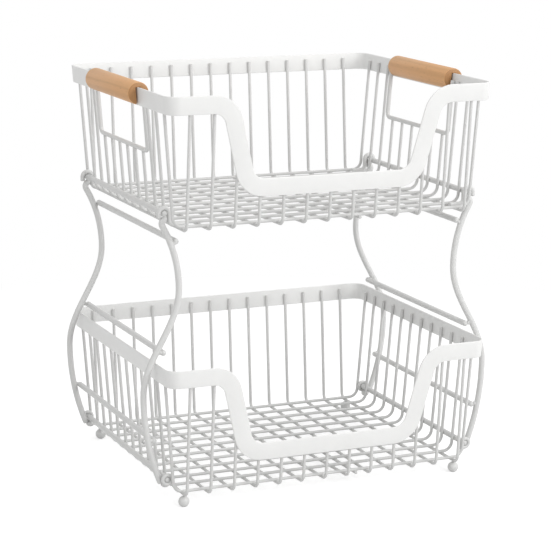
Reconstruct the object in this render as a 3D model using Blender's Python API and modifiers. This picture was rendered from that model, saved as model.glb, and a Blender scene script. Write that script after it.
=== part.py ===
"""Two-tier fruit basket stand: two wire baskets with banded rims on a pair of bent side frames.

Metres, +Z up. X runs left to right, the dipped front of each basket faces -Y, and the
origin is on the table under the middle of the stand. The upper basket hangs by four hooks
on the top bars of the side frames and lifts off straight up.
"""

import math

import bmesh
import bpy
from mathutils import Matrix, Vector

# General
GAP = 0.0003
OVERRUN = 0.004
SIDES = {"left": -1, "right": 1}
ENDS = {"front": -1, "back": 1}

# Rim band of a basket, heights from the underside of the basket's wires
RIM_WIDTH = 0.3476
RIM_DEPTH = 0.2982
RIM_TOP = 0.1325
RIM_CORNER_RADIUS = 0.014
BAND_HEIGHT = 0.0179
BAND_THICKNESS = 0.0020
FLARE_SHARE = 0.08

# Dip at the front of the rim
DIP_TOP = 0.0496
DIP_LOW_HALF = 0.072
DIP_BEND_RADIUS = 0.022
DIP_SLOPE = math.radians(76)

# Wires
WIRE = 0.0032
WELD_DEPTH = 0.0002
FRONT_WIRES = 13
BACK_WIRES = 14
SHORT_BACK_WIRE = 8
SIDE_WIRES = 12
LONG_WIRE_INSET = 0.0005
BACK_RIGHT_WIRE_INSET = 0.0044
CROSS_WIRE_INSET = 0.0020
LONG_WIRE_BEND = 0.008
CROSS_WIRE_BEND = 0.010
LONG_WIRE_DROP = 0.0048
CROSS_WIRE_DROP = 0.0068

# Hand openings of the upper basket
HAND_BAR = 0.0045
HAND_WIRES = 6
HAND_UPRIGHT_INSET = 0.0103
HAND_BAR_HEIGHT = 0.0707
HAND_BEND = 0.006
GRIP_DIAMETER = 0.022
GRIP_END_GAP = 0.0022
GRIP_CHAMFER = 0.002
GRIP_SLOT_PLAY = 0.003
GRIP_DROP = 0.0058

# Tiers
FOOT_DIAMETER = 0.0112
FOOT_FLAT = 0.0005
TIER_SPACING = 0.2642

# Side frames
LEG = 0.0062
BAR = 0.0058
LEG_INSET = 0.0346
LEG_BELLY_OUTSET = 0.0135
LEG_WAIST_INSET = 0.0236
LEG_FOOT_LEAN = math.radians(21.3)
LEG_TOP_LEAN = math.radians(30)
LEG_TOP_BEND = 0.0045
LEG_TOP_END_INSET = 0.0023
LEG_WRAP = math.radians(45)
TIP_DIAMETER = 0.0088
TIP_HEIGHT = 0.0066
SIDE_BAR_HEIGHT = 0.0171
TOP_BAR_OVERHANG = 0.0035
CROSS_BAR_OVERHANG = 0.0015
NECK_BAR_DROP = 0.0134
RIM_BAR_RISE = 0.0139
BELLY_BAR_HEIGHT = 0.0656

# Hooks and eyes
HOOK = 0.0046
HOOK_END = 0.0045
HOOK_TAIL_BEND = 0.005
EYE_WIRE = 0.0036

# Values worked out from the sizes above
RIM_HALF_X = RIM_WIDTH / 2
RIM_HALF_Y = RIM_DEPTH / 2
LOWER_LEVEL = FOOT_DIAMETER - FOOT_FLAT + GAP
UPPER_LEVEL = LOWER_LEVEL + TIER_SPACING
LONG_WIRE_HEIGHT = WIRE / 2
CROSS_WIRE_HEIGHT = LONG_WIRE_HEIGHT + WIRE - WELD_DEPTH
BAND_HIGH = RIM_TOP - BAND_HEIGHT / 2
BAND_LOW = DIP_TOP - BAND_HEIGHT / 2
GRIP_HEIGHT = RIM_TOP - GRIP_DROP
LEG_SPACING = RIM_DEPTH - 2 * LEG_INSET
LEG_BELLY = RIM_HALF_X + LEG_BELLY_OUTSET
LEG_WAIST = RIM_HALF_X - LEG_WAIST_INSET
NECK_BAR_HEIGHT = UPPER_LEVEL - NECK_BAR_DROP
RIM_BAR_HEIGHT = LOWER_LEVEL + RIM_TOP + RIM_BAR_RISE
SEAT = LEG / 2 + BAR / 2 + GAP

WHITE = (0.83, 0.83, 0.83)
BEECH = (0.56, 0.33, 0.16)


def clear_scene():
    """Removes what the scene holds before the model is made."""
    for item in list(bpy.data.objects):
        bpy.data.objects.remove(item)


def make_collection(name):
    """Makes a collection under the scene's own."""
    group = bpy.data.collections.new(name)
    bpy.context.scene.collection.children.link(group)
    return group


def make_material(name, colour, roughness, metallic):
    """Makes a Principled material."""
    finish = bpy.data.materials.new(name)
    finish.use_nodes = True
    shader = finish.node_tree.nodes["Principled BSDF"]
    shader.inputs["Base Color"].default_value = (*colour, 1)
    shader.inputs["Roughness"].default_value = roughness
    shader.inputs["Metallic"].default_value = metallic
    finish.diffuse_color = (*colour, 1)
    return finish


clear_scene()
PARTS = make_collection("fruit_basket_stand")
CUTTERS = make_collection("cutters")
COAT = make_material("white_powder_coat", WHITE, 0.45, 0)
WOOD = make_material("beech", BEECH, 0.6, 0)


def make_empty(name, height):
    """Makes the empty that carries a tier, at the tier's level."""
    carrier = bpy.data.objects.new(name, None)
    carrier.location = (0, 0, height)
    PARTS.objects.link(carrier)
    return carrier


def add_object(name, data, finish, parent, location=(0, 0, 0), group=None):
    """Puts mesh or curve data into the scene as a named part."""
    item = bpy.data.objects.new(name, data)
    item.location = location
    item.parent = parent
    if finish:
        data.materials.append(finish)
    (group or PARTS).objects.link(item)
    return item


def tube_data(name, routes, diameter, resolution, turn=0):
    """Makes curve data with a round section along each route of points."""
    data = bpy.data.curves.new(name, "CURVE")
    data.dimensions = "3D"
    data.bevel_depth = diameter / 2
    data.bevel_resolution = resolution
    data.use_fill_caps = True
    for route in routes:
        spline = data.splines.new("POLY")
        spline.points.add(len(route) - 1)
        for point, place in zip(spline.points, route):
            point.co = (*place, 1)
            point.tilt = turn
        spline.use_smooth = True
    return data


def tube(name, route, diameter, finish, parent, resolution=2):
    """Makes one rod along a route of points."""
    return add_object(name, tube_data(name, [route], diameter, resolution), finish, parent)


def mesh_from_tubes(name, routes, diameter, resolution, parent, group, turn=0):
    """Makes a mesh of several rods, with their caps welded on."""
    curve = add_object(name + "_curve", tube_data(name, routes, diameter, resolution, turn), None, parent)
    bpy.context.view_layer.update()
    shown = curve.evaluated_get(bpy.context.evaluated_depsgraph_get())
    data = bpy.data.meshes.new_from_object(shown)
    bpy.data.objects.remove(curve)
    shape = bmesh.new()
    shape.from_mesh(data)
    bmesh.ops.remove_doubles(shape, verts=shape.verts, dist=GAP / 100)
    shape.to_mesh(data)
    shape.free()
    return add_object(name, data, COAT, parent, group=group)


def join_or_cut(item, tool, operation):
    """Adds an exact Boolean of the tool to the item, and hides the tool, which is no part of the model."""
    step = item.modifiers.new(tool.name, "BOOLEAN")
    step.operation = operation
    step.solver = "EXACT"
    step.object = tool
    tool.hide_render = True
    tool.display_type = "WIRE"


def arc(centre_u, centre_v, radius, start, end, steps):
    """Gives points of an arc in a plane, from one angle to another."""
    angles = [start + (end - start) * i / steps for i in range(steps + 1)]
    return [(centre_u + radius * math.cos(a), centre_v + radius * math.sin(a)) for a in angles]


# Rim band

def dip_line():
    """Gives the left half of the band's middle line at the front: place, height and slope."""
    bend_fall = DIP_BEND_RADIUS * (1 - math.cos(DIP_SLOPE))
    middle_run = (BAND_HIGH - BAND_LOW - 2 * bend_fall) / math.tan(DIP_SLOPE)
    bend_run = DIP_BEND_RADIUS * math.sin(DIP_SLOPE)
    high_end = DIP_LOW_HALF + 2 * bend_run + middle_run
    steps = 5
    stations = []
    for i in range(steps + 1):
        slope = DIP_SLOPE * i / steps
        fall = DIP_BEND_RADIUS * (1 - math.cos(slope))
        stations.append((-high_end + DIP_BEND_RADIUS * math.sin(slope), BAND_HIGH - fall, -slope))
    for i in range(steps, -1, -1):
        slope = DIP_SLOPE * i / steps
        rise = DIP_BEND_RADIUS * (1 - math.cos(slope))
        stations.append((-DIP_LOW_HALF - DIP_BEND_RADIUS * math.sin(slope), BAND_LOW + rise, -slope))
    return stations


def band_height_at(place):
    """Gives the height of the band's middle line at a place along the front."""
    line = dip_line()
    if -abs(place) <= line[0][0]:
        return BAND_HIGH
    for (x0, z0, _), (x1, z1, _) in zip(line, line[1:]):
        if x0 <= -abs(place) <= x1:
            return z0 + (z1 - z0) * (-abs(place) - x0) / (x1 - x0)
    return BAND_LOW


def rim_stations():
    """Gives the band's stations all round: plan point, outward normal, height and slope."""
    stations = []
    left_half = dip_line()
    for x, z, slope in left_half + [(-x, z, -slope) for x, z, slope in reversed(left_half)]:
        stations.append((Vector((x, -RIM_HALF_Y)), Vector((0, -1)), z, slope))
    centre_x = RIM_HALF_X - RIM_CORNER_RADIUS
    centre_y = RIM_HALF_Y - RIM_CORNER_RADIUS
    steps = 4
    for corner, (sign_x, sign_y) in enumerate(((1, -1), (1, 1), (-1, 1), (-1, -1))):
        for i in range(steps + 1):
            angle = math.pi / 2 * (corner - 1 + i / steps)
            normal = Vector((math.cos(angle), math.sin(angle)))
            middle = Vector((sign_x * centre_x, sign_y * centre_y))
            stations.append((middle + normal * RIM_CORNER_RADIUS, normal, BAND_HIGH, 0))
    return stations


def make_rim(name, parent):
    """Makes the flared rim band as a strip with a wall thickness."""
    data = bpy.data.meshes.new(name)
    shape = bmesh.new()
    columns = []
    for place, normal, height, slope in rim_stations():
        along = Vector((-normal.y, normal.x))
        column = []
        for half in (-BAND_HEIGHT / 2, BAND_HEIGHT / 2):
            z = height + half * math.cos(slope)
            plan = place - along * half * math.sin(slope) - normal * FLARE_SHARE * (RIM_TOP - z)
            column.append(shape.verts.new((plan.x, plan.y, z)))
        columns.append(column)
    for now, then in zip(columns, columns[1:] + columns[:1]):
        shape.faces.new((now[0], then[0], then[1], now[1]))
    shape.to_mesh(data)
    shape.free()
    data.shade_smooth()
    data.set_sharp_from_angle(angle=math.radians(40))
    rim = add_object(name, data, COAT, parent)
    wall = rim.modifiers.new("wall", "SOLIDIFY")
    wall.thickness = BAND_THICKNESS
    wall.offset = -1


# Wire grids

def wall_offset(height, rod):
    """Gives how far inside the rim's outer face a rod of the wall lies, at a height."""
    return FLARE_SHARE * (RIM_TOP - height) + BAND_THICKNESS + GAP + rod / 2


def floor_half(half_size, floor, bend):
    """Gives how far out the level stretch of a wire reaches."""
    return half_size - wall_offset(floor + bend, WIRE) - bend


def wall_run(half_size, floor, bend, top):
    """Gives a wall wire in its own plane, from its top down to the floor: distance and height."""
    steps = 3
    run = [(half_size - wall_offset(top, WIRE), top)]
    run += arc(floor_half(half_size, floor, bend), floor + bend, bend, 0, -math.pi / 2, steps)
    return run


def corner_wire_place(sign, end_sign):
    """Gives the place of an outermost long wire at its front or back end."""
    reach = floor_half(RIM_HALF_X, CROSS_WIRE_HEIGHT, CROSS_WIRE_BEND)
    if sign > 0 and end_sign > 0:
        return reach - BACK_RIGHT_WIRE_INSET
    return sign * (reach - LONG_WIRE_INSET)


def long_wire_place(number, count, end_sign):
    """Gives the place of a long wire's front or back end, counted from the left."""
    left = corner_wire_place(-1, end_sign)
    return left + (corner_wire_place(1, end_sign) - left) * number / (count - 1)


def long_wire_routes():
    """Gives the routes of the wires that run front to back."""
    routes = []
    back_top = RIM_TOP - LONG_WIRE_DROP
    end_rise = back_top - BAND_HIGH
    for number in range(BACK_WIRES):
        back_x = long_wire_place(number, BACK_WIRES, 1)
        back = [(back_x, y, z) for y, z in wall_run(RIM_HALF_Y, LONG_WIRE_HEIGHT, LONG_WIRE_BEND, back_top)]
        if number == SHORT_BACK_WIRE:
            front_number = number - 1 / 2
        else:
            front_number = number - (number > SHORT_BACK_WIRE)
        front_x = long_wire_place(front_number, FRONT_WIRES, -1)
        front_top = min(back_top, band_height_at(front_x) + end_rise)
        run = wall_run(RIM_HALF_Y, LONG_WIRE_HEIGHT, LONG_WIRE_BEND, front_top)
        front = [(front_x, -y, z) for y, z in reversed(run)]
        if number == SHORT_BACK_WIRE:
            front = front[:1]
        routes.append(back + front)
    return routes


def cross_wire_places():
    """Gives the places of the wires that run left to right."""
    last = floor_half(RIM_HALF_Y, LONG_WIRE_HEIGHT, LONG_WIRE_BEND) - CROSS_WIRE_INSET
    return [last * (2 * i / (SIDE_WIRES - 1) - 1) for i in range(SIDE_WIRES)]


def cross_wire_routes(with_hand_openings):
    """Gives the routes of the wires that run left to right, over the long ones."""
    routes = []
    for y in cross_wire_places():
        top = RIM_TOP - CROSS_WIRE_DROP
        if with_hand_openings and abs(y) < hand_half():
            top = HAND_BAR_HEIGHT - HAND_BAR / 2 - GAP
        run = wall_run(RIM_HALF_X, CROSS_WIRE_HEIGHT, CROSS_WIRE_BEND, top)
        left = [(-x, y, z) for x, z in run]
        right = [(x, y, z) for x, z in reversed(run)]
        routes.append(left + right)
    return routes


def make_grid(name, parent, with_hand_openings):
    """Makes a basket's wires as one welded piece."""
    edge_up = math.pi / 2
    grid = mesh_from_tubes(name, long_wire_routes(), WIRE, 1, parent, PARTS, edge_up)
    cross = cross_wire_routes(with_hand_openings)
    welded = mesh_from_tubes(name + "_cross_wires", cross, WIRE, 1, parent, CUTTERS, edge_up)
    join_or_cut(grid, welded, "UNION")
    return grid


# Hand openings

def hand_half():
    """Gives how far from the middle the uprights of a hand opening stand, between two cross wires."""
    return cross_wire_places()[(SIDE_WIRES + HAND_WIRES) // 2] - HAND_UPRIGHT_INSET


def grip_half():
    """Gives half the length of a grip, which fits between the uprights."""
    return hand_half() - HAND_BAR / 2 - GRIP_END_GAP


def make_hand_frame(side, sign, parent):
    """Makes the U-shaped rod round a hand opening."""
    half = hand_half()
    upright = [(half, RIM_TOP - CROSS_WIRE_DROP)]
    upright += arc(half - HAND_BEND, HAND_BAR_HEIGHT + HAND_BEND, HAND_BEND, 0, -math.pi / 2, 4)
    outline = upright + [(-y, z) for y, z in reversed(upright)]
    route = [(sign * (RIM_HALF_X - wall_offset(z, HAND_BAR)), y, z) for y, z in outline]
    return tube(side + "_hand_frame", route, HAND_BAR, COAT, parent)


def band_middle(height):
    """Gives how far out the middle of the band's thickness lies at a height."""
    return RIM_HALF_X - FLARE_SHARE * (RIM_TOP - height) - BAND_THICKNESS / 2


def make_slot_cutter(side, sign, parent):
    """Makes the box that cuts the grip's slot, with play on both sides of the band."""
    name = side + "_slot_cutter"
    data = bpy.data.meshes.new(name)
    shape = bmesh.new()
    bmesh.ops.create_cube(shape, size=1)
    depth = RIM_TOP + GAP - (GRIP_HEIGHT - GRIP_DIAMETER / 2 - OVERRUN)
    size = (BAND_THICKNESS + 2 * GAP + GRIP_SLOT_PLAY, 2 * (grip_half() + OVERRUN), depth)
    bmesh.ops.scale(shape, verts=shape.verts, vec=size)
    turn = Matrix.Rotation(sign * math.atan(FLARE_SHARE), 3, "Y")
    bmesh.ops.rotate(shape, verts=shape.verts, matrix=turn)
    shape.to_mesh(data)
    shape.free()
    height = RIM_TOP + GAP - depth / 2
    return add_object(name, data, None, parent, (sign * band_middle(height), 0, height), CUTTERS)


def make_grip(side, sign, parent):
    """Makes a dowel with chamfered ends and a slot that sits over the band."""
    name = side + "_grip"
    data = bpy.data.meshes.new(name)
    shape = bmesh.new()
    radius = GRIP_DIAMETER / 2
    bmesh.ops.create_cone(
        shape, cap_ends=True, segments=20, radius1=radius, radius2=radius, depth=2 * grip_half()
    )
    rims = [edge for edge in shape.edges if abs(edge.verts[0].co.z - edge.verts[1].co.z) < GAP]
    bmesh.ops.bevel(
        shape, geom=rims, offset=GRIP_CHAMFER, segments=1, profile=0.5, affect="EDGES", material=-1
    )
    bmesh.ops.rotate(shape, verts=shape.verts, matrix=Matrix.Rotation(math.pi / 2, 3, "X"))
    shape.to_mesh(data)
    shape.free()
    data.shade_smooth()
    data.set_sharp_from_angle(angle=math.radians(30))
    place = (sign * band_middle(GRIP_HEIGHT), 0, GRIP_HEIGHT)
    grip = add_object(name, data, WOOD, parent, place)
    join_or_cut(grip, make_slot_cutter(side, sign, parent), "DIFFERENCE")


# Side frames

def upper_bar_place():
    """Gives the top bar's place: just outside the upper basket's wires."""
    reach = RIM_HALF_X - wall_offset(SIDE_BAR_HEIGHT, WIRE) + WIRE / 2 + GAP + BAR / 2
    return reach, UPPER_LEVEL + SIDE_BAR_HEIGHT


def lower_bar_place():
    """Gives the bottom bar's place: just outside the lower basket's wires."""
    return upper_bar_place()[0], LOWER_LEVEL + SIDE_BAR_HEIGHT


def leg_route():
    """Gives a leg's middle line, from its lower end to its top: distance out and height."""
    reach, low = lower_bar_place()
    high = upper_bar_place()[1]
    route = arc(reach, low, SEAT, -LEG_WRAP, -LEG_FOOT_LEAN, 2)
    foot_x, foot_z = route[-1]
    radius = (LEG_BELLY - foot_x) / (1 - math.cos(LEG_FOOT_LEAN))
    belly_z = foot_z + radius * math.sin(LEG_FOOT_LEAN)
    route += arc(LEG_BELLY - radius, belly_z, radius, -LEG_FOOT_LEAN, 0, 5)[1:]
    end_x = reach - LEG_TOP_END_INSET
    bend_x = end_x + GAP
    bend_z = high - math.sqrt((LEG_TOP_BEND + SEAT) ** 2 - (reach - bend_x) ** 2)
    start = -LEG_TOP_LEAN
    neck_x = bend_x + LEG_TOP_BEND * math.cos(start)
    neck_z = bend_z + LEG_TOP_BEND * math.sin(start)
    radius = (neck_x - LEG_WAIST) / (1 - math.cos(LEG_TOP_LEAN))
    waist_z = neck_z - radius * math.sin(LEG_TOP_LEAN)
    steps = 7
    for i in range(1, steps + 1):
        share = i / steps
        x = (LEG_BELLY + LEG_WAIST) / 2 + (LEG_BELLY - LEG_WAIST) / 2 * math.cos(math.pi * share)
        route.append((x, belly_z + (waist_z - belly_z) * share))
    route += arc(LEG_WAIST + radius, waist_z, radius, math.pi, math.pi - LEG_TOP_LEAN, 4)[1:]
    route += arc(bend_x, bend_z, LEG_TOP_BEND, start, math.pi / 2, 4)[1:]
    route.append((end_x, bend_z + LEG_TOP_BEND))
    return route


def bar_place(height):
    """Gives the place of a cross bar seated on the inner side of the legs at a height."""
    route = leg_route()
    for (x0, z0), (x1, z1) in zip(route, route[1:]):
        if z0 <= height <= z1:
            share = (height - z0) / (z1 - z0)
            along = Vector((x1 - x0, z1 - z0)).normalized()
            return x0 + (x1 - x0) * share - along.y * SEAT, height + along.x * SEAT
    raise ValueError("no leg at this height")


def make_side_frame(side, sign):
    """Makes two legs, the five bars between them and the tips of the legs."""
    for end, end_sign in ENDS.items():
        y = end_sign * LEG_SPACING / 2
        route = [(sign * x, y, z) for x, z in leg_route()]
        tube(side + "_" + end + "_leg", route, LEG, COAT, None)
    cross_end = LEG_SPACING / 2 + CROSS_BAR_OVERHANG
    bars = {
        "top_bar": (upper_bar_place(), LEG_SPACING / 2 + TOP_BAR_OVERHANG),
        "neck_bar": (bar_place(NECK_BAR_HEIGHT), cross_end),
        "rim_bar": (bar_place(RIM_BAR_HEIGHT), cross_end),
        "belly_bar": (bar_place(BELLY_BAR_HEIGHT), cross_end),
        "bottom_bar": (lower_bar_place(), eye_place() + EYE_WIRE / 2),
    }
    for name, ((x, z), end_y) in bars.items():
        tube(side + "_" + name, [(sign * x, -end_y, z), (sign * x, end_y, z)], BAR, COAT, None)
    reach, low = lower_bar_place()
    drop = BAR / 2 + GAP + TIP_HEIGHT / 2
    for end, end_sign in ENDS.items():
        place = (sign * reach, end_sign * LEG_SPACING / 2, low - drop)
        make_ball("tip_" + side + "_" + end, TIP_DIAMETER, TIP_HEIGHT, place)


def make_ball(name, diameter, height, centre):
    """Turns a ball, or a flatter bead, with a small flat underneath."""
    radius = diameter / 2
    end = -math.asin((radius - FOOT_FLAT) / radius)
    outline = arc(0, 0, radius, math.pi / 2, end, 5)[1:]
    profile = [(0, height / 2)]
    profile += [(r, z * height / diameter) for r, z in outline]
    profile.append((0, profile[-1][1]))
    data = bpy.data.meshes.new(name)
    shape = bmesh.new()
    corners = [shape.verts.new((r, 0, z)) for r, z in profile]
    for first, second in zip(corners, corners[1:]):
        shape.edges.new((first, second))
    shape.to_mesh(data)
    shape.free()
    item = add_object(name, data, COAT, None, centre)
    turn = item.modifiers.new("turn", "SCREW")
    turn.steps = 9
    turn.render_steps = turn.steps
    turn.use_merge_vertices = True
    turn.merge_threshold = GAP / 10
    turn.use_smooth_shade = True


# Feet, eyes and hooks

def make_feet():
    """Makes the lower basket's ball feet, under the ends of the outermost long wires."""
    reach = floor_half(RIM_HALF_Y, LONG_WIRE_HEIGHT, LONG_WIRE_BEND) - WIRE / 2
    height = FOOT_DIAMETER / 2 - FOOT_FLAT
    for side, sign in SIDES.items():
        for end, end_sign in ENDS.items():
            place = (corner_wire_place(sign, end_sign), end_sign * reach, height)
            make_ball("foot_" + side + "_" + end, FOOT_DIAMETER, FOOT_DIAMETER, place)


def eye_place():
    """Gives how far from the middle the eyes sit, beside the outermost cross wires."""
    return cross_wire_places()[-1] - WIRE / 2 - GAP - EYE_WIRE / 2


def make_eyes():
    """Makes the eyes that hold the bottom bars."""
    reach, low = lower_bar_place()
    for side, sign in SIDES.items():
        for end, end_sign in ENDS.items():
            bpy.ops.mesh.primitive_torus_add(
                major_segments=10, minor_segments=6,
                major_radius=BAR / 2 + GAP + EYE_WIRE / 2, minor_radius=EYE_WIRE / 2,
                location=(sign * reach, end_sign * eye_place(), low), rotation=(math.pi / 2, 0, 0),
            )
            eye = bpy.context.object
            eye.name = "eye_" + side + "_" + end
            eye.data.materials.append(COAT)
            eye.data.shade_smooth()
            for group in list(eye.users_collection):
                group.objects.unlink(eye)
            PARTS.objects.link(eye)


def make_hooks(parent):
    """Makes the upper basket's hooks, which hang over the top bars."""
    reach = upper_bar_place()[0]
    radius = BAR / 2 + GAP + HOOK / 2
    seat = LONG_WIRE_HEIGHT + WIRE / 2 + GAP + HOOK / 2
    tail_end = corner_wire_place(1, 1) - WIRE / 2
    inner = reach - radius
    outline = [(reach + radius, SIDE_BAR_HEIGHT - HOOK_END)]
    outline += arc(reach, SIDE_BAR_HEIGHT, radius, 0, math.pi, 6)
    outline += arc(inner - HOOK_TAIL_BEND, seat + HOOK_TAIL_BEND, HOOK_TAIL_BEND, 0, -math.pi / 2, 3)
    outline.append((tail_end, seat))
    for side, sign in SIDES.items():
        for end, end_sign in ENDS.items():
            route = [(sign * x, end_sign * LEG_SPACING / 2, z) for x, z in outline]
            tube("hook_" + side + "_" + end, route, HOOK, COAT, parent, 1)


def make_stand():
    """Makes the lower basket and the side frames."""
    lower = make_empty("lower_tier", LOWER_LEVEL)
    make_rim("lower_rim", lower)
    make_grid("lower_wire_grid", lower, False)
    make_feet()
    make_eyes()
    for side, sign in SIDES.items():
        make_side_frame(side, sign)


def make_upper_basket():
    """Makes the basket that lifts off, under one empty on the axis of its travel."""
    upper = make_empty("upper_tier", UPPER_LEVEL)
    make_rim("upper_rim", upper)
    make_grid("upper_wire_grid", upper, True)
    for side, sign in SIDES.items():
        make_hand_frame(side, sign, upper)
        make_grip(side, sign, upper)
    make_hooks(upper)


make_stand()
make_upper_basket()
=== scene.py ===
import math

import bmesh
import bpy
from bpy.props import FloatProperty, FloatVectorProperty, IntProperty, PointerProperty
from mathutils import Matrix, Vector


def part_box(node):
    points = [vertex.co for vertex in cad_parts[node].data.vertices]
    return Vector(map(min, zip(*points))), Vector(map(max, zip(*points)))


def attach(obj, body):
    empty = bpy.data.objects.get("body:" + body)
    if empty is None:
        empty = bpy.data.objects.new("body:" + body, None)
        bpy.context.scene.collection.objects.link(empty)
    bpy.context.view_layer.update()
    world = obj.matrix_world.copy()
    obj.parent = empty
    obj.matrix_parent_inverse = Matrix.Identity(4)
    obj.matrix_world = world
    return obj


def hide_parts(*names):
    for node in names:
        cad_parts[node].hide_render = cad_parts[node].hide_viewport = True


bl_info = {
    "name": "Fruit Basket Stand",
    "version": (1, 0, 0),
    "blender": (4, 5, 0),
    "location": "View3D > Sidebar > Basket Stand",
    "description": "Dresses a two-tier wire basket stand in powder coat and beech",
    "category": "Add Mesh",
}

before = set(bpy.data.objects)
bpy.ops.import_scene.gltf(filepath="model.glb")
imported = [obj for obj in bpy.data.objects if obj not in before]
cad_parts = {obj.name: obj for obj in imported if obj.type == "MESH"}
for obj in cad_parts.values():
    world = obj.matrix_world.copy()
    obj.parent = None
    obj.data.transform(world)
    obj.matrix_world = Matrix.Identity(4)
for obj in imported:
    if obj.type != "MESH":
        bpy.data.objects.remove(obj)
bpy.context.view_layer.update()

SIDES = {"left": -1, "right": 1}
ENDS = {"front": -1, "back": 1}
TIERS = {"lower": "stand", "upper": "upper_basket"}
GAP = 0.0003
GRIP = 0.022
HAND_ROD = 0.0045
QUARTER = math.pi / 2


def extent(node, axis):
    """Gives how far a node of the frame reaches along an axis, end to end."""
    low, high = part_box(node)
    return high[axis] - low[axis]


def level(tier):
    """Gives the height of the underside of a basket's wires."""
    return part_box(tier + "_wire_grid")[0].z


# Properties

def length(name, text, default):
    """Makes a length property."""
    return FloatProperty(name=name, description=text, default=default, min=0, precision=4, unit="LENGTH")


def angle(name, text, degrees):
    """Makes an angle property."""
    return FloatProperty(name=name, description=text, default=math.radians(degrees), subtype="ANGLE")


def share(name, text, default):
    """Makes a property that is a share of something."""
    return FloatProperty(name=name, description=text, default=default, min=0, max=1, subtype="FACTOR")


def colour(name, text, default):
    """Makes a colour property."""
    return FloatVectorProperty(name=name, description=text, default=default, size=3, subtype="COLOR")


class RimSizes(bpy.types.PropertyGroup):
    """Sizes of a basket's rim band."""
    width: length("Width", "Outer width of the rim at its top edge", extent("upper_rim", 0))
    depth: length("Depth", "Outer depth of the rim at its top edge", extent("upper_rim", 1))
    top: length("Top", "Height of the rim's top edge above the wires' underside",
                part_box("upper_rim")[1].z - level("upper"))
    corner: length("Corner radius", "Outer radius of the rim's corners", 0.014)
    band: length("Band height", "Height of the rim's band", 0.0179)
    wall: length("Band thickness", "Thickness of the band's sheet", 0.0020)
    edge: length("Edge radius", "Rounding of the band's edges", 0.0008)
    flare: share("Flare", "How far the walls lean out, as a share of their height", 0.08)
    dip_top: length("Dip top", "Height of the band's top edge where it dips", 0.0496)
    dip_half: length("Dip half width", "Half of the dip's level stretch", 0.072)
    dip_bend: length("Dip bend", "Radius of the dip's bends at the band's middle", 0.022)
    dip_slope: angle("Dip slope", "Steepest slope of the band in the dip", 76)


class WireSizes(bpy.types.PropertyGroup):
    """Sizes and counts of a basket's wires."""
    wire: length("Wire", "Diameter of the wires", 0.0032)
    front_count: IntProperty(name="Front wires", description="Wires in the front wall", default=13, min=2)
    back_count: IntProperty(name="Back wires", description="Wires in the back wall", default=14, min=2)
    side_count: IntProperty(name="Side wires", description="Wires in each side wall", default=12, min=2)
    short_wire: IntProperty(name="Short wire", description="Back wire that ends under the front", default=8)
    long_inset: length("Long wire inset", "Inset of the outermost long wires on the level floor", 0.0008)
    right_inset: length("Right back inset", "Inset of the outermost wire at the back right", 0.0047)
    cross_inset: length("Cross wire inset", "Inset of the outermost cross wires on the level floor", 0.0023)
    long_bend: length("Long wire bend", "Bend radius of the wires that run front to back", 0.008)
    cross_bend: length("Cross wire bend", "Bend radius of the wires that run side to side", 0.010)
    long_drop: length("Long wire drop", "How far the long wires end below the rim's top", 0.0048)
    cross_drop: length("Cross wire drop", "How far the cross wires end below the rim's top", 0.0068)
    sink: length("Weld sink", "How far crossing wires sink into each other", 0.0002)
    bead: length("Weld bead", "Radius of the bead at a weld", 0.0021)


class HandSizes(bpy.types.PropertyGroup):
    """Sizes of the hand openings and the grips."""
    rod: length("Rod", "Diameter of the rod round a hand opening", HAND_ROD)
    opening: length("Opening", "Width of a hand opening, from rod to rod",
                    extent("left_hand_frame", 1) - HAND_ROD)
    sill: length("Sill height", "Height of the rod under a hand opening", 0.0707)
    bend: length("Rod bend", "Bend radius of the rod's corners", 0.006)
    grip: length("Grip", "Diameter of a grip", GRIP)
    grip_length: length("Grip length", "Length of a grip", extent("left_grip", 1))
    chamfer: length("Grip edge", "Rounding at the ends of a grip", 0.002)
    grip_height: length("Grip height", "Height of a grip's middle above the wires' underside",
                        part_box("left_grip")[1].z - GRIP / 2 - level("upper"))
    slot_play: length("Slot play", "Free width of the grip's slot beside the band", 0.003)


class StandSizes(bpy.types.PropertyGroup):
    """Sizes of the side frames, the feet, the eyes and the hooks."""
    leg: length("Leg", "Diameter of a leg", 0.0062)
    bar: length("Bar", "Diameter of a cross bar", 0.0058)
    spacing: length("Leg spacing", "Distance between the legs of a side frame",
                    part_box("left_back_leg")[1].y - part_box("left_front_leg")[1].y)
    belly: length("Belly", "Distance of a leg from the middle at its widest", 0.1873)
    waist: length("Waist", "Distance of a leg from the middle at its narrowest", 0.1502)
    foot_lean: angle("Foot lean", "Lean of a leg at its foot", 21.3)
    top_lean: angle("Top lean", "Lean of a leg below its top bend", 30)
    top_bend: length("Top bend", "Radius of the bend over the top bar", 0.0045)
    top_end: length("Top end", "Distance of a leg's top end from the middle", 0.1632)
    wrap: angle("Wrap", "How far a leg's foot wraps under the bottom bar", 45)
    weld: length("Weld", "Radius of the welds between bars and legs", 0.0022)
    tip: length("Tip", "Diameter of the bead under a leg", 0.0088)
    tip_height: length("Tip height", "Height of the bead under a leg", 0.0066)
    foot: length("Foot", "Diameter of a ball foot", 0.0112)
    flat: length("Flat", "How much of a ball its flat cuts off", 0.0005)
    side_bar: length("Side bar height", "Height of the bar beside a basket above its underside", 0.0171)
    hook: length("Hook", "Diameter of a hook's rod", 0.0046)
    hook_end: length("Hook end", "How far a hook reaches below the bar's middle", 0.0045)
    hook_bend: length("Hook bend", "Radius of the bend under a hook", 0.005)
    eye: length("Eye", "Diameter of an eye's wire", 0.0036)


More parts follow.
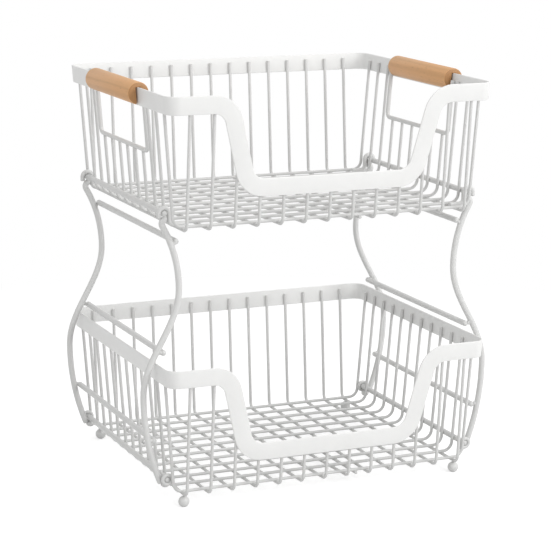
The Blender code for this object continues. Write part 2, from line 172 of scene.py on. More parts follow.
class StandFinishes(bpy.types.PropertyGroup):
    """Colours of the finishes."""
    coat: colour("Powder coat", "Colour of the powder coat", (0.83, 0.83, 0.82))
    # Painted shade: the rods and the thin wires take darker copies of the one white coat, standing in for the
    # shading they show
    rod_painted_shade: share("Rod shade", "How light the coat looks on the rods, against the bands", 0.82)
    wire_painted_shade: share("Wire shade", "How light the coat looks on the thin wires, against the bands", 0.78)
    wood_light: colour("Light wood", "Colour of the early wood", (0.68, 0.385, 0.175))
    wood_dark: colour("Dark wood", "Colour of the grain lines", (0.46, 0.25, 0.11))
    wood_end: colour("End grain", "Colour of the wood at a grip's ends", (0.42, 0.21, 0.08))


class StageSettings(bpy.types.PropertyGroup):
    """Camera and studio."""
    place: FloatVectorProperty(name="Camera place", description="Where the camera stands", size=3,
                               default=(-0.85383, -1.94812, 0.65475), subtype="XYZ", unit="LENGTH")
    heading: angle("Heading", "Turn of the view from the depth axis towards the right", 23.7177)
    pitch: angle("Pitch", "Downward slope of the view", 12.1896)
    roll: angle("Roll", "Turn of the camera about its own axis", 0.4512)
    lens: FloatProperty(name="Lens", description="Focal length", default=135.777, unit="CAMERA")
    floor: length("Floor radius", "Radius of the floor", 3)
    near: length("Shadow reach", "Distance up to which the floor keeps its whole shadow", 0.3)
    far: length("White reach", "Distance from which the floor is plain white", 0.9)
    paper: share("Floor shade", "How light the floor is where it keeps shadows", 0.7)
    glow: share("Floor glow", "How much light is added to the floor where it is seen", 0.5)
    surround: share("Surround", "Strength of the even light from all round", 0.62)


# Shapes

def arc(centre_u, centre_v, radius, start, end, steps):
    """Gives points of an arc in a plane, from one angle to another."""
    turns = [start + (end - start) * i / steps for i in range(steps + 1)]
    return [(centre_u + radius * math.cos(turn), centre_v + radius * math.sin(turn)) for turn in turns]


def directions(route):
    """Gives the direction of a route at each of its points."""
    runs = [(after - before).normalized() for before, after in zip(route, route[1:])]
    inner = [(before + after).normalized() for before, after in zip(runs, runs[1:])]
    return [runs[0]] + inner + [runs[-1]]


def rounded_end(radius, edge, steps=3):
    """Gives the stations of a rod's rounded end: set back and radius, from the face inwards."""
    turns = [QUARTER * (1 - i / steps) for i in range(steps)]
    return [(edge * (1 - math.sin(turn)), radius - edge * (1 - math.cos(turn))) for turn in turns]


def sweep(shape, places):
    """Extrudes the open loop of a shape through a list of places, given as matrices."""
    edges = [edge for edge in shape.edges if edge.is_boundary or edge.is_wire]
    for before, after in zip(places, places[1:]):
        grown = bmesh.ops.extrude_edge_only(shape, edges=edges)["geom"]
        corners = [item for item in grown if isinstance(item, bmesh.types.BMVert)]
        bmesh.ops.transform(shape, matrix=after @ before.inverted(), verts=corners)
        fresh = set(corners)
        edges = [item for item in grown if isinstance(item, bmesh.types.BMEdge)
                 and item.verts[0] in fresh and item.verts[1] in fresh]
    return edges


def rod(route, diameter, sides=16, edge=None):
    """Sweeps a round section along a route of points and rounds its two ends."""
    route = [Vector(point) for point in route]
    radius = diameter / 2
    edge = radius * 0.35 if edge is None else edge
    headings = directions(route)
    end = rounded_end(radius, edge)
    stations = [(route[0] + headings[0] * back, headings[0], size) for back, size in end]
    stations += [(route[0] + headings[0] * edge, headings[0], radius)]
    stations += [(point, heading, radius) for point, heading in zip(route[1:-1], headings[1:-1])]
    stations += [(route[-1] - headings[-1] * edge, headings[-1], radius)]
    stations += [(route[-1] - headings[-1] * back, headings[-1], size) for back, size in reversed(end)]
    turn = Vector((0, 0, 1)).rotation_difference(stations[0][1]).to_matrix()
    places = []
    heading_before = stations[0][1]
    for point, heading, size in stations:
        turn = heading_before.rotation_difference(heading).to_matrix() @ turn
        heading_before = heading
        places.append(Matrix.Translation(point) @ turn.to_4x4() @ Matrix.Scale(size, 4))
    shape = bmesh.new()
    bmesh.ops.create_circle(shape, cap_ends=True, segments=sides, radius=1, matrix=places[0])
    last = sweep(shape, places)
    bmesh.ops.contextual_create(shape, geom=last)
    bmesh.ops.recalc_face_normals(shape, faces=shape.faces)
    return shape


def ball(diameter, height, flat, centre):
    """Makes a ball, or a flatter bead, with a small flat underneath."""
    shape = bmesh.new()
    bmesh.ops.create_uvsphere(shape, u_segments=28, v_segments=18, radius=diameter / 2)
    everything = shape.verts[:] + shape.edges[:] + shape.faces[:]
    bmesh.ops.bisect_plane(
        shape, geom=everything, plane_co=(0, 0, flat - diameter / 2), plane_no=(0, 0, -1), clear_outer=True
    )
    rim = [edge for edge in shape.edges if edge.is_boundary]
    if rim:
        bmesh.ops.contextual_create(shape, geom=rim)
    bmesh.ops.scale(shape, verts=shape.verts, vec=(1, 1, height / diameter))
    bmesh.ops.translate(shape, verts=shape.verts, vec=centre)
    bmesh.ops.recalc_face_normals(shape, faces=shape.faces)
    return shape


def bead(centre, radius, flatness=0.45):
    """Makes the small bead of a weld."""
    shape = bmesh.new()
    bmesh.ops.create_uvsphere(shape, u_segments=8, v_segments=5, radius=radius)
    bmesh.ops.scale(shape, verts=shape.verts, vec=(1, 1, flatness))
    bmesh.ops.translate(shape, verts=shape.verts, vec=centre)
    return shape


def gather(shapes):
    """Joins shapes into one mesh shape."""
    whole = bmesh.new()
    for shape in shapes:
        data = bpy.data.meshes.new("part")
        shape.to_mesh(data)
        shape.free()
        whole.from_mesh(data)
        bpy.data.meshes.remove(data)
    return whole


def add_piece(name, shape, finish, sharp=40):
    """Turns a shape into an object with a finish, shaded smooth up to an angle in degrees."""
    data = bpy.data.meshes.new(name)
    shape.to_mesh(data)
    shape.free()
    data.materials.append(finish)
    data.shade_smooth()
    data.set_sharp_from_angle(angle=math.radians(sharp))
    piece = bpy.data.objects.new(name, data)
    bpy.context.scene.collection.objects.link(piece)
    return piece


def mount(piece, body, node):
    """Lets a piece ride on a body and stand for a node."""
    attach(piece, body)
    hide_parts(node)


def add_coated(node, body, shape, finish="rod_coat_painted_shade"):
    """Adds a powder-coated piece that stands for a node; by default it takes the rod coat, darkened as
    painted shade.
    """
    mount(add_piece("coated_" + node, shape, bpy.data.materials[finish]), body, node)


# Finishes

def new_finish(name, base, roughness):
    """Starts a Principled material and gives its node tree and shader."""
    finish = bpy.data.materials.new(name)
    finish.use_nodes = True
    shader = finish.node_tree.nodes["Principled BSDF"]
    shader.inputs["Base Color"].default_value = (*base, 1)
    shader.inputs["Roughness"].default_value = roughness
    finish.diffuse_color = (*base, 1)
    return finish.node_tree, shader


def add_node(tree, kind, **values):
    """Adds a node and sets its inputs, by name, or its own settings."""
    node = tree.nodes.new(kind)
    for name, value in values.items():
        label = name.replace("_", " ").title()
        if label in node.inputs:
            node.inputs[label].default_value = value
        else:
            setattr(node, name, value)
    return node


def object_coordinates(tree, stretch=(1, 1, 1)):
    """Gives object coordinates, stretched along the axes."""
    source = tree.nodes.new("ShaderNodeTexCoord")
    mapping = add_node(tree, "ShaderNodeMapping", Scale=stretch)
    tree.links.new(source.outputs["Object"], mapping.inputs["Vector"])
    return mapping.outputs["Vector"]


def mixed(tree, factor, first, second):
    """Mixes two colours by a factor and gives the colour output."""
    mix = tree.nodes.new("ShaderNodeMix")
    mix.data_type = "RGBA"
    tree.links.new(factor, mix.inputs["Factor"])
    for socket, value in ((mix.inputs[6], first), (mix.inputs[7], second)):
        if isinstance(value, bpy.types.NodeSocket):
            tree.links.new(value, socket)
        else:
            socket.default_value = (*value, 1)
    return mix.outputs[2]


def noise(tree, vector, scale, detail, roughness=0.5):
    """Gives a noise texture's value."""
    texture = add_node(tree, "ShaderNodeTexNoise", scale=scale, detail=detail, roughness=roughness)
    tree.links.new(vector, texture.inputs["Vector"])
    return texture.outputs["Fac"]


def spread(tree, value, low, high, new_low=0.0, new_high=1.0):
    """Maps a range of a value to another."""
    ranges = add_node(tree, "ShaderNodeMapRange", from_min=low, from_max=high,
                      to_min=new_low, to_max=new_high)
    tree.links.new(value, ranges.inputs["Value"])
    return ranges.outputs["Result"]


def bump(tree, shader, height, strength, distance):
    """Drives a shader's normal by a height."""
    node = add_node(tree, "ShaderNodeBump", strength=strength, distance=distance)
    tree.links.new(height, node.inputs["Height"])
    tree.links.new(node.outputs["Normal"], shader.inputs["Normal"])


def make_powder_coat(name, base):
    """Makes the satin powder coat with its fine orange peel."""
    tree, shader = new_finish(name, base, 0.38)
    place = object_coordinates(tree)
    patches = spread(tree, noise(tree, place, 35, 3), 0.35, 0.65)
    shade = [channel * 0.975 for channel in base]
    tree.links.new(mixed(tree, patches, shade, base), shader.inputs["Base Color"])
    peel = noise(tree, place, 900, 2, 0.6)
    tree.links.new(spread(tree, peel, 0.3, 0.7, 0.33, 0.45), shader.inputs["Roughness"])
    bump(tree, shader, peel, 0.25, 0.00012)


def end_grain(tree):
    """Gives 1 where the wood is cut across its grain, which runs along the depth axis."""
    surface = tree.nodes.new("ShaderNodeNewGeometry")
    parts = tree.nodes.new("ShaderNodeSeparateXYZ")
    tree.links.new(surface.outputs["True Normal"], parts.inputs["Vector"])
    size = add_node(tree, "ShaderNodeMath", operation="ABSOLUTE")
    tree.links.new(parts.outputs["Y"], size.inputs[0])
    return spread(tree, size.outputs["Value"], 0.5, 0.8)


def make_beech(light, dark, end):
    """Makes oiled beech with long grain, fine flecks, open pores and darker ends."""
    tree, shader = new_finish("oiled_beech", light, 0.5)
    grain_place = object_coordinates(tree, (1, 0.055, 1))
    waves = add_node(tree, "ShaderNodeTexWave", scale=40, distortion=9, detail=3,
                     wave_type="BANDS", bands_direction="Z")
    tree.links.new(grain_place, waves.inputs["Vector"])
    grain = spread(tree, waves.outputs["Fac"], 0.35, 1, 0, 0.3)
    fleck_place = object_coordinates(tree, (1, 0.12, 1))
    flecks = spread(tree, noise(tree, fleck_place, 1500, 2), 0.62, 0.72)
    patches = spread(tree, noise(tree, grain_place, 60, 4), 0.3, 0.7)
    warm = [light[0] * 1.05, light[1] * 0.97, light[2] * 0.9]
    ground = mixed(tree, patches, light, warm)
    lined = mixed(tree, grain, ground, dark)
    flecked = mixed(tree, flecks, lined, dark)
    tree.links.new(mixed(tree, end_grain(tree), flecked, end), shader.inputs["Base Color"])
    tree.links.new(spread(tree, grain, 0, 1, 0.46, 0.58), shader.inputs["Roughness"])
    fibres = noise(tree, fleck_place, 700, 3)
    bump(tree, shader, fibres, 0.3, 0.0002)


# Rim band and wires

def dip_line(rim, steps=14):
    """Gives the left half of the band's middle line at the front: place, height and slope."""
    high = rim.top - rim.band / 2
    low = rim.dip_top - rim.band / 2
    fall = rim.dip_bend * (1 - math.cos(rim.dip_slope))
    middle_run = (high - low - 2 * fall) / math.tan(rim.dip_slope)
    high_end = rim.dip_half + 2 * rim.dip_bend * math.sin(rim.dip_slope) + middle_run
    slopes = [rim.dip_slope * i / steps for i in range(steps + 1)]
    upper = [(-high_end + rim.dip_bend * math.sin(turn), high - rim.dip_bend * (1 - math.cos(turn)), -turn)
             for turn in slopes]
    lower = [(-rim.dip_half - rim.dip_bend * math.sin(turn), low + rim.dip_bend * (1 - math.cos(turn)), -turn)
             for turn in reversed(slopes)]
    return upper + lower


def band_height_at(rim, place):
    """Gives the height of the band's middle line at a place along the front."""
    line = dip_line(rim)
    if -abs(place) <= line[0][0]:
        return line[0][1]
    for (x0, z0, _), (x1, z1, _) in zip(line, line[1:]):
        if x0 <= -abs(place) <= x1:
            return z0 + (z1 - z0) * (-abs(place) - x0) / (x1 - x0)
    return line[-1][1]


def rim_stations(rim, steps=12):
    """Gives the band's stations all round: plan point, outward normal, height and slope."""
    left_half = dip_line(rim)
    line = left_half + [(-x, z, -slope) for x, z, slope in reversed(left_half)]
    stations = [(Vector((x, -rim.depth / 2, 0)), Vector((0, -1, 0)), z, slope) for x, z, slope in line]
    centre_x = rim.width / 2 - rim.corner
    centre_y = rim.depth / 2 - rim.corner
    for corner, (sign_x, sign_y) in enumerate(((1, -1), (1, 1), (-1, 1), (-1, -1))):
        for i in range(steps + 1):
            turn = QUARTER * (corner - 1 + i / steps)
            normal = Vector((math.cos(turn), math.sin(turn), 0))
            middle = Vector((sign_x * centre_x, sign_y * centre_y, 0))
            stations.append((middle + normal * rim.corner, normal, left_half[0][1], 0))
    return stations


def band_shape(rim, base):
    """Sweeps the band's rounded section all round the rim."""
    places = []
    for place, normal, height, slope in rim_stations(rim):
        along = Vector((0, 0, 1)).cross(normal)
        outer = place - normal * rim.flare * (rim.top - height)
        up = Vector((0, 0, math.cos(slope))) - along * math.sin(slope) + normal * rim.flare * math.cos(slope)
        up.normalize()
        out = (normal - up * normal.dot(up)).normalized()
        centre = outer - out * rim.wall / 2 + Vector((0, 0, height + base))
        turn = Matrix((out, up, out.cross(up))).transposed()
        places.append(Matrix.Translation(centre) @ turn.to_4x4())
    shape = bmesh.new()
    bmesh.ops.create_grid(shape, x_segments=1, y_segments=1, size=1 / 2)
    bmesh.ops.scale(shape, verts=shape.verts, vec=(rim.wall, rim.band, 1))
    bmesh.ops.bevel(shape, geom=shape.verts[:], offset=rim.edge, segments=4, profile=0.5,
                    affect="VERTICES", material=-1)
    bmesh.ops.delete(shape, geom=shape.faces[:], context="FACES_ONLY")
    bmesh.ops.transform(shape, matrix=places[0], verts=shape.verts)
    sweep(shape, places + places[:1])
    bmesh.ops.remove_doubles(shape, verts=shape.verts, dist=GAP / 10)
    bmesh.ops.recalc_face_normals(shape, faces=shape.faces)
    return shape


def wall_offset(rim, height, thickness):
    """Gives how far inside the rim's outer face a rod of the wall lies, at a height."""
    return rim.flare * (rim.top - height) + rim.wall + thickness / 2


def floor_half(rim, wire, half_size, floor, bend):
    """Gives how far out the level stretch of a wire reaches."""
    return half_size - wall_offset(rim, floor + bend, wire) - bend


def wall_run(rim, wire, half_size, floor, bend, top):
    """Gives a wall wire in its own plane, from its top down to the floor: distance and height."""
    run = [(half_size - wall_offset(rim, top, wire), top)]
    run += arc(floor_half(rim, wire, half_size, floor, bend), floor + bend, bend, 0, -QUARTER, 9)
    return run


def long_wire_place(rim, wires, number, count, right_inset):
    """Gives the place of a long wire's front or back end, counted from the left."""
    floor = wires.wire * 3 / 2 - wires.sink
    reach = floor_half(rim, wires.wire, rim.width / 2, floor, wires.cross_bend)
    left = wires.long_inset - reach
    return left + (reach - right_inset - left) * number / (count - 1)


def long_wire_routes(rim, wires):
    """Gives the routes of the wires that run front to back."""
    routes = []
    floor = wires.wire / 2
    back_top = rim.top - wires.long_drop
    end_rise = back_top - (rim.top - rim.band / 2)
    for number in range(wires.back_count):
        back_x = long_wire_place(rim, wires, number, wires.back_count, wires.right_inset)
        run = wall_run(rim, wires.wire, rim.depth / 2, floor, wires.long_bend, back_top)
        back = [(back_x, y, z) for y, z in run]
        short = number == wires.short_wire
        front_number = number - 1 / 2 if short else number - (number > wires.short_wire)
        front_x = long_wire_place(rim, wires, front_number, wires.front_count, wires.long_inset)
        front_top = min(back_top, band_height_at(rim, front_x) + end_rise)
        run = wall_run(rim, wires.wire, rim.depth / 2, floor, wires.long_bend, front_top)
        front = [(front_x, -y, z) for y, z in reversed(run)]
        routes.append(back + (front[:1] if short else front))
    return routes


def cross_wire_places(rim, wires):
    """Gives the places of the wires that run left to right."""
    last = floor_half(rim, wires.wire, rim.depth / 2, wires.wire / 2, wires.long_bend) - wires.cross_inset
    return [last * (2 * i / (wires.side_count - 1) - 1) for i in range(wires.side_count)]


def cross_wire_routes(rim, wires, hand, open_sides):
    """Gives the routes of the wires that run left to right, over the long ones."""
    routes = []
    floor = wires.wire * 3 / 2 - wires.sink
    for y in cross_wire_places(rim, wires):
        top = rim.top - wires.cross_drop
        if open_sides and abs(y) < hand.opening / 2:
            top = hand.sill
        run = wall_run(rim, wires.wire, rim.width / 2, floor, wires.cross_bend, top)
        left = [(-x, y, z) for x, z in run]
        routes.append(left + [(x, y, z) for x, z in reversed(run)])
    return routes


def floor_beads(rim, wires):
    """Gives the beads where long and cross wires meet on the floor."""
    beads = []
    height = wires.wire - wires.sink / 2
    for route in long_wire_routes(rim, wires):
        flat = [point for point in route if abs(point[2] - wires.wire / 2) < GAP]
        (x0, y0, _), (x1, y1, _) = flat[0], flat[-1]
        for y in cross_wire_places(rim, wires):
            if min(y0, y1) - wires.wire <= y <= max(y0, y1) + wires.wire:
                beads.append(bead((x0 + (x1 - x0) * (y - y0) / (y1 - y0), y, height), wires.bead))
    return beads


def lifted(shape, height):
    """Moves a shape up by a height."""
    bmesh.ops.translate(shape, verts=shape.verts, vec=(0, 0, height))
    return shape


# Side frames

def upper_bar_place(rim, wires, stand):
    """Gives the top bar's place, just outside the upper basket's wires."""
    reach = rim.width / 2 - wall_offset(rim, stand.side_bar, wires.wire) + wires.wire / 2 + stand.bar / 2
    return reach, level("upper") + stand.side_bar


def lower_bar_place(rim, wires, stand):
    """Gives the bottom bar's place, just outside the lower basket's wires."""
    return upper_bar_place(rim, wires, stand)[0], level("lower") + stand.side_bar


def leg_route(rim, wires, stand):
    """Gives a leg's middle line, from its lower end to its top: distance out and height."""
    seat = stand.leg / 2 + stand.bar / 2
    reach, low = lower_bar_place(rim, wires, stand)
    high = upper_bar_place(rim, wires, stand)[1]
    route = arc(reach, low, seat, -stand.wrap, -stand.foot_lean, 5)
    foot_x, foot_z = route[-1]
    radius = (stand.belly - foot_x) / (1 - math.cos(stand.foot_lean))
    belly_z = foot_z + radius * math.sin(stand.foot_lean)
    route += arc(stand.belly - radius, belly_z, radius, -stand.foot_lean, 0, 14)[1:]
    bend_x = stand.top_end
    bend_z = high - math.sqrt((stand.top_bend + seat) ** 2 - (reach - bend_x) ** 2)
    start = -stand.top_lean
    neck_x = bend_x + stand.top_bend * math.cos(start)
    neck_z = bend_z + stand.top_bend * math.sin(start)
    radius = (neck_x - stand.waist) / (1 - math.cos(stand.top_lean))
    waist_z = neck_z - radius * math.sin(stand.top_lean)
    steps = 24
    for i in range(1, steps + 1):
        part = i / steps
        x = (stand.belly + stand.waist) / 2 + (stand.belly - stand.waist) / 2 * math.cos(math.pi * part)
        route.append((x, belly_z + (waist_z - belly_z) * part))
    route += arc(stand.waist + radius, waist_z, radius, math.pi, math.pi - stand.top_lean, 12)[1:]
    route += arc(bend_x, bend_z, stand.top_bend, start, QUARTER, 10)[1:]
    route.append((stand.top_end - GAP, bend_z + stand.top_bend))
    return route


# Operators

class BASKET_OT_finishes(bpy.types.Operator):
    """Makes the powder coat, with darker copies of it as painted shade for the rods and the wires, and the
    beech
    """
    bl_idname = "basket.finishes"
    bl_label = "Finishes"

    def execute(self, context):
        finishes = context.scene.basket_finishes
        # The band coat keeps the coat's colour; the rod and wire coats are darker copies of it, painted shade
        # for how thin rods and wires fall into shade
        painted_shade_factors = {"band_coat": 1, "rod_coat_painted_shade": finishes.rod_painted_shade, "wire_coat_painted_shade": finishes.wire_painted_shade}
        for name, part in painted_shade_factors.items():
            make_powder_coat(name, [channel * part for channel in finishes.coat])
        make_beech(tuple(finishes.wood_light), tuple(finishes.wood_dark), tuple(finishes.wood_end))
        return {"FINISHED"}


class BASKET_OT_rims(bpy.types.Operator):
    """Makes the flared, dipped rim band of each basket"""
    bl_idname = "basket.rims"
    bl_label = "Rim bands"

    def execute(self, context):
        for tier, body in TIERS.items():
            add_coated(tier + "_rim", body, band_shape(context.scene.basket_rim, level(tier)), "band_coat")
        return {"FINISHED"}


class BASKET_OT_wires(bpy.types.Operator):
    """Makes the welded wires of each basket"""
    bl_idname = "basket.wires"
    bl_label = "Wire grids"

    def execute(self, context):
        scene = context.scene
        rim, wires, hand = scene.basket_rim, scene.basket_wires, scene.basket_hand
        for tier, body in TIERS.items():
            routes = long_wire_routes(rim, wires) + cross_wire_routes(rim, wires, hand, tier == "upper")
            shapes = [rod(route, wires.wire, 14) for route in routes]
            shape = lifted(gather(shapes + floor_beads(rim, wires)), level(tier))
            # The wire coat is a darker copy of the white coat: painted shade on the thin wires
            add_coated(tier + "_wire_grid", body, shape, "wire_coat_painted_shade")
        return {"FINISHED"}


class BASKET_OT_hand_frames(bpy.types.Operator):
    """Makes the rods round the hand openings"""
    bl_idname = "basket.hand_frames"
    bl_label = "Hand opening rods"

    def execute(self, context):
        rim, hand = context.scene.basket_rim, context.scene.basket_hand
        half = hand.opening / 2
        top = rim.top - context.scene.basket_wires.cross_drop
        upright = [(half, top)] + arc(half - hand.bend, hand.sill + hand.bend, hand.bend, 0, -QUARTER, 10)
        outline = upright + [(-y, z) for y, z in reversed(upright)]
        for side, sign in SIDES.items():
            route = [(sign * (rim.width / 2 - wall_offset(rim, z, hand.rod)), y, z) for y, z in outline]
            add_coated(side + "_hand_frame", "upper_basket", lifted(rod(route, hand.rod, 18), level("upper")))
        return {"FINISHED"}


class BASKET_OT_side_frames(bpy.types.Operator):
    """Makes the legs, the cross bars and the tips of both side frames"""
    bl_idname = "basket.side_frames"
    bl_label = "Side frames"

    def execute(self, context):
        scene = context.scene
        stand = scene.basket_stand
        outline = leg_route(scene.basket_rim, scene.basket_wires, stand)
        for side, sign in SIDES.items():
            for end, end_sign in ENDS.items():
                route = [(sign * x, end_sign * stand.spacing / 2, z) for x, z in outline]
                add_coated(side + "_" + end + "_leg", "stand", rod(route, stand.leg, 22))
                self.add_tip("tip_" + side + "_" + end, stand)
            for name in ("top", "neck", "rim", "belly", "bottom"):
                node = side + "_" + name + "_bar"
                low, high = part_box(node)
                x, z = (low.x + high.x) / 2, (low.z + high.z) / 2
                shapes = [rod([(x, low.y, z), (x, high.y, z)], stand.bar, 22, stand.bar * 0.4)]
                shapes += self.bar_welds(outline, sign, Vector((x, 0, z)), stand)
                add_coated(node, "stand", gather(shapes))
        return {"FINISHED"}

    def bar_welds(self, outline, sign, bar, stand):
        """Makes the welds in the hollows between a bar and the legs that it crosses."""
        places = [Vector((sign * x, 0, z)) for x, z in outline]
        leg = min(places, key=lambda place: (place - bar).length)
        touch = bar.lerp(leg, stand.bar / (stand.bar + stand.leg))
        welds = []
        for end_sign in ENDS.values():
            offset = Vector((0, end_sign * stand.spacing / 2, 0))
            welds.append(bead(touch + offset, stand.weld, 1))
        return welds

    def add_tip(self, node, stand):
        """Adds the flat bead under a leg's lower end."""
        low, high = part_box(node)
        centre = Vector(((low.x + high.x) / 2, (low.y + high.y) / 2, high.z - stand.tip_height / 2))
        add_coated(node, "stand", ball(stand.tip, stand.tip_height, stand.flat, centre))


class BASKET_OT_feet_and_eyes(bpy.types.Operator):
    """Makes the lower basket's ball feet and the eyes round the bottom bars"""
    bl_idname = "basket.feet_and_eyes"
    bl_label = "Feet and eyes"

    def execute(self, context):
        stand = context.scene.basket_stand
        for side in SIDES:
            for end in ENDS:
                node = "foot_" + side + "_" + end
                low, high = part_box(node)
                centre = Vector(((low.x + high.x) / 2, (low.y + high.y) / 2, stand.foot / 2 - stand.flat))
                add_coated(node, "stand", ball(stand.foot, stand.foot, stand.flat, centre))
                node = "eye_" + side + "_" + end
                add_coated(node, "stand", self.eye(sum(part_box(node), Vector()) / 2, stand))
        return {"FINISHED"}

    def eye(self, centre, stand):
        """Spins an eye's wire round the bar."""
        shape = bmesh.new()
        radius = (stand.bar + stand.eye) / 2
        tilt = Matrix.Translation((radius, 0, 0))
        ring = bmesh.ops.create_circle(shape, segments=16, radius=stand.eye / 2, matrix=tilt)["verts"]
        edges = list({edge for corner in ring for edge in corner.link_edges})
        bmesh.ops.spin(shape, geom=ring + edges, cent=(0, 0, 0), axis=(0, 1, 0), dvec=(0, 0, 0),
                       angle=2 * math.pi, steps=28, use_merge=True)
        bmesh.ops.recalc_face_normals(shape, faces=shape.faces)
        bmesh.ops.translate(shape, verts=shape.verts, vec=centre)
        return shape


class BASKET_OT_hooks(bpy.types.Operator):
    """Makes the hooks of the upper basket"""
    bl_idname = "basket.hooks"
    bl_label = "Hooks"

    def execute(self, context):
        scene = context.scene
        rim, wires, stand = scene.basket_rim, scene.basket_wires, scene.basket_stand
        reach = upper_bar_place(rim, wires, stand)[0]
        radius = (stand.bar + stand.hook) / 2
        seat = wires.wire + stand.hook / 2
        inner = reach - radius
        outline = [(reach + radius, stand.side_bar - stand.hook_end)]
        outline += arc(reach, stand.side_bar, radius, 0, math.pi, 16)
        outline += arc(inner - stand.hook_bend, seat + stand.hook_bend, stand.hook_bend, 0, -QUARTER, 8)
        last = wires.back_count - 1
        outer_wire = long_wire_place(rim, wires, last, wires.back_count, wires.right_inset)
        outline.append((outer_wire - wires.wire / 2, seat))
        for side, sign in SIDES.items():
            for end, end_sign in ENDS.items():
                route = [(sign * x, end_sign * stand.spacing / 2, z) for x, z in outline]
                shape = lifted(rod(route, stand.hook, 18), level("upper"))
                add_coated("hook_" + side + "_" + end, "upper_basket", shape)
        return {"FINISHED"}


def band_middle(rim, height):
    """Gives how far out the middle of the band's thickness lies at a height."""
    return rim.width / 2 - rim.flare * (rim.top - height) - rim.wall / 2


def cut(piece, shape, sharp=35):
    """Cuts a shape out of a piece, keeps the result as its mesh and marks its sharp edges again."""
    tool = add_piece("tool", shape, piece.data.materials[0])
    step = piece.modifiers.new("cut", "BOOLEAN")
    step.operation = "DIFFERENCE"
    step.object = tool
    shown = piece.evaluated_get(bpy.context.evaluated_depsgraph_get())
    data = bpy.data.meshes.new_from_object(shown)
    piece.modifiers.remove(step)
    bpy.data.objects.remove(tool)
    piece.data = data
    data.set_sharp_from_angle(angle=math.radians(sharp))


class BASKET_OT_grips(bpy.types.Operator):
    """Makes the slotted beech grips"""
    bl_idname = "basket.grips"
    bl_label = "Grips"

    def execute(self, context):
        rim, hand = context.scene.basket_rim, context.scene.basket_hand
        base = level("upper")
        out = band_middle(rim, hand.grip_height)
        for side, sign in SIDES.items():
            shape = bmesh.new()
            bmesh.ops.create_cone(shape, cap_ends=True, segments=56, radius1=hand.grip / 2,
                                  radius2=hand.grip / 2, depth=hand.grip_length)
            ends = [edge for edge in shape.edges if abs(edge.verts[0].co.z - edge.verts[1].co.z) < GAP]
            bmesh.ops.bevel(shape, geom=ends, offset=hand.chamfer, segments=2, profile=0.5,
                            affect="EDGES", material=-1)
            bmesh.ops.rotate(shape, verts=shape.verts, matrix=Matrix.Rotation(QUARTER, 3, "X"))
            bmesh.ops.translate(shape, verts=shape.verts, vec=(sign * out, 0, base + hand.grip_height))
            grip = add_piece("turned_" + side + "_grip", shape, bpy.data.materials["oiled_beech"])
            cut(grip, self.slot_tool(rim, hand, sign, base))
            mount(grip, "upper_basket", side + "_grip")
        return {"FINISHED"}

    def slot_tool(self, rim, hand, sign, base):
        """Makes the box that cuts the slot for the band."""
        shape = bmesh.new()
        bmesh.ops.create_cube(shape, size=1)
        depth = rim.top + GAP - (hand.grip_height - hand.grip)
        size = (rim.wall + 2 * GAP + hand.slot_play, 2 * hand.grip_length, depth)
        bmesh.ops.scale(shape, verts=shape.verts, vec=size)
        turn = Matrix.Rotation(sign * math.atan(rim.flare), 3, "Y")
        bmesh.ops.rotate(shape, verts=shape.verts, matrix=turn)
        height = rim.top + GAP - depth / 2
        middle = band_middle(rim, height)
        bmesh.ops.translate(shape, verts=shape.verts, vec=(sign * middle, 0, base + height))
        return shape


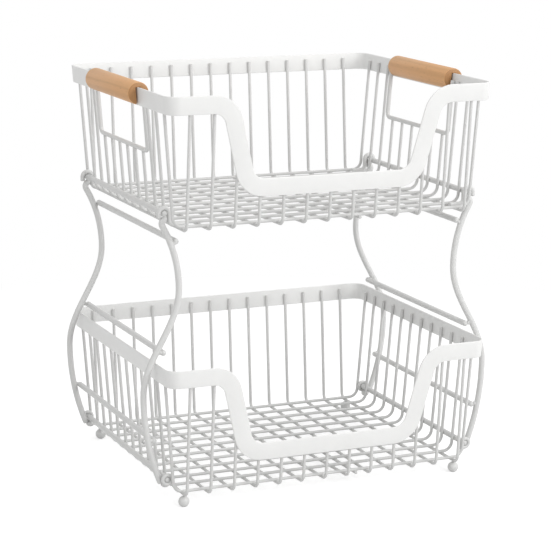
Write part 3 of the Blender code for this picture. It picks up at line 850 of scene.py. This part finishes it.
class BASKET_OT_stage(bpy.types.Operator):
    """Sets the camera, the pale floor and the soft studio light"""
    bl_idname = "basket.stage"
    bl_label = "Stage"

    # Place, size and power of each lamp
    lamps = {
        "key": ((1.5, -1.9, 1.6), 1.3, 26),
        "top": ((0.5, 0.3, 2.6), 1.6, 10),
        "front": ((0.3, -2.6, 0.9), 1.3, 9),
        "left": ((-2.2, -1.0, 1.2), 1.3, 7),
        "right": ((2.3, -0.4, 1.2), 1.3, 5),
    }

    def execute(self, context):
        scene = context.scene
        self.camera(scene, scene.basket_stage)
        self.floor(scene.basket_stage)
        self.world(scene, scene.basket_stage)
        for name, settings in self.lamps.items():
            self.lamp(name, *settings)
        scene.view_settings.view_transform = "Standard"
        return {"FINISHED"}

    def camera(self, scene, stage):
        """Makes the camera."""
        data = bpy.data.cameras.new("camera")
        data.lens = stage.lens
        data.clip_start = 0.05
        camera = bpy.data.objects.new("camera", data)
        turn = Matrix.Rotation(-stage.heading, 4, "Z") @ Matrix.Rotation(QUARTER - stage.pitch, 4, "X")
        camera.matrix_world = Matrix.Translation(stage.place) @ turn @ Matrix.Rotation(stage.roll, 4, "Z")
        scene.collection.objects.link(camera)
        scene.camera = camera

    def floor(self, stage):
        """Makes a white floor that keeps shadows near the stand and is plain white further out."""
        shape = bmesh.new()
        bmesh.ops.create_circle(shape, cap_ends=True, segments=96, radius=stage.floor)
        finish = bpy.data.materials.new("floor")
        finish.use_nodes = True
        tree = finish.node_tree
        tree.nodes.clear()
        paper = add_node(tree, "ShaderNodeBsdfDiffuse", color=(stage.paper, stage.paper, stage.paper, 1))
        white = add_node(tree, "ShaderNodeEmission", strength=1)
        glow = add_node(tree, "ShaderNodeEmission", strength=stage.glow)
        lifted_paper = tree.nodes.new("ShaderNodeAddShader")
        tree.links.new(paper.outputs["BSDF"], lifted_paper.inputs[0])
        tree.links.new(glow.outputs["Emission"], lifted_paper.inputs[1])
        near = tree.nodes.new("ShaderNodeMixShader")
        seen = tree.nodes.new("ShaderNodeMixShader")
        output = tree.nodes.new("ShaderNodeOutputMaterial")
        place = tree.nodes.new("ShaderNodeTexCoord")
        distance = add_node(tree, "ShaderNodeVectorMath", operation="LENGTH")
        tree.links.new(place.outputs["Object"], distance.inputs[0])
        far = spread(tree, distance.outputs["Value"], stage.near, stage.far)
        tree.links.new(far, near.inputs["Fac"])
        tree.links.new(lifted_paper.outputs["Shader"], near.inputs[1])
        tree.links.new(white.outputs["Emission"], near.inputs[2])
        tree.links.new(self.seen_rays(tree), seen.inputs["Fac"])
        tree.links.new(paper.outputs["BSDF"], seen.inputs[1])
        tree.links.new(near.outputs["Shader"], seen.inputs[2])
        tree.links.new(seen.outputs["Shader"], output.inputs["Surface"])
        add_piece("floor", shape, finish)

    def seen_rays(self, tree):
        """Gives 1 for camera, glossy and transmission rays."""
        path = tree.nodes.new("ShaderNodeLightPath")
        total = path.outputs["Is Camera Ray"]
        for name in ("Is Glossy Ray", "Is Transmission Ray"):
            both = add_node(tree, "ShaderNodeMath", operation="MAXIMUM")
            tree.links.new(total, both.inputs[0])
            tree.links.new(path.outputs[name], both.inputs[1])
            total = both.outputs["Value"]
        return total

    def world(self, scene, stage):
        """Makes a white surround that lights the stand evenly."""
        world = bpy.data.worlds.new("studio")
        world.use_nodes = True
        tree = world.node_tree
        ground = tree.nodes["Background"]
        ground.inputs["Color"].default_value = (1, 1, 1, 1)
        strength = spread(tree, self.seen_rays(tree), 0, 1, stage.surround)
        tree.links.new(strength, ground.inputs["Strength"])
        scene.world = world

    def lamp(self, name, place, size, power):
        """Makes an area lamp aimed at the stand."""
        data = bpy.data.lights.new(name, "AREA")
        data.shape = "DISK"
        data.size = size
        data.energy = power
        lamp = bpy.data.objects.new(name, data)
        lamp.location = place
        aim = Vector((0, 0, 0.2)) - Vector(place)
        lamp.rotation_euler = aim.to_track_quat("-Z", "Y").to_euler()
        bpy.context.scene.collection.objects.link(lamp)


class BASKET_PT_panel(bpy.types.Panel):
    """Lists the steps that dress the stand"""
    bl_label = "Basket Stand"
    bl_idname = "BASKET_PT_panel"
    bl_space_type = "VIEW_3D"
    bl_region_type = "UI"
    bl_category = "Basket Stand"

    def draw(self, context):
        for step in STEPS:
            self.layout.operator(step.bl_idname)
        for name in GROUPS:
            group = getattr(context.scene, name)
            box = self.layout.box()
            box.label(text=type(group).__doc__)
            for item in group.bl_rna.properties:
                if item.identifier not in ("rna_type", "name"):
                    box.prop(group, item.identifier)


GROUPS = {
    "basket_rim": RimSizes,
    "basket_wires": WireSizes,
    "basket_hand": HandSizes,
    "basket_stand": StandSizes,
    "basket_finishes": StandFinishes,
    "basket_stage": StageSettings,
}
STEPS = [
    BASKET_OT_finishes, BASKET_OT_rims, BASKET_OT_wires, BASKET_OT_hand_frames, BASKET_OT_side_frames,
    BASKET_OT_feet_and_eyes, BASKET_OT_hooks, BASKET_OT_grips, BASKET_OT_stage,
]


def register():
    """Registers the add-on's classes and properties."""
    for item in [*GROUPS.values(), *STEPS, BASKET_PT_panel]:
        bpy.utils.register_class(item)
    for name, group in GROUPS.items():
        setattr(bpy.types.Scene, name, PointerProperty(type=group))


def unregister():
    """Removes the add-on's classes and properties."""
    for name in GROUPS:
        delattr(bpy.types.Scene, name)
    for item in reversed([*GROUPS.values(), *STEPS, BASKET_PT_panel]):
        bpy.utils.unregister_class(item)


def main():
    """Dresses the stand."""
    register()
    for step in STEPS:
        group, name = step.bl_idname.split(".")
        getattr(getattr(bpy.ops, group), name)()
    bpy.context.view_layer.update()


if __name__ == "__main__":
    main()
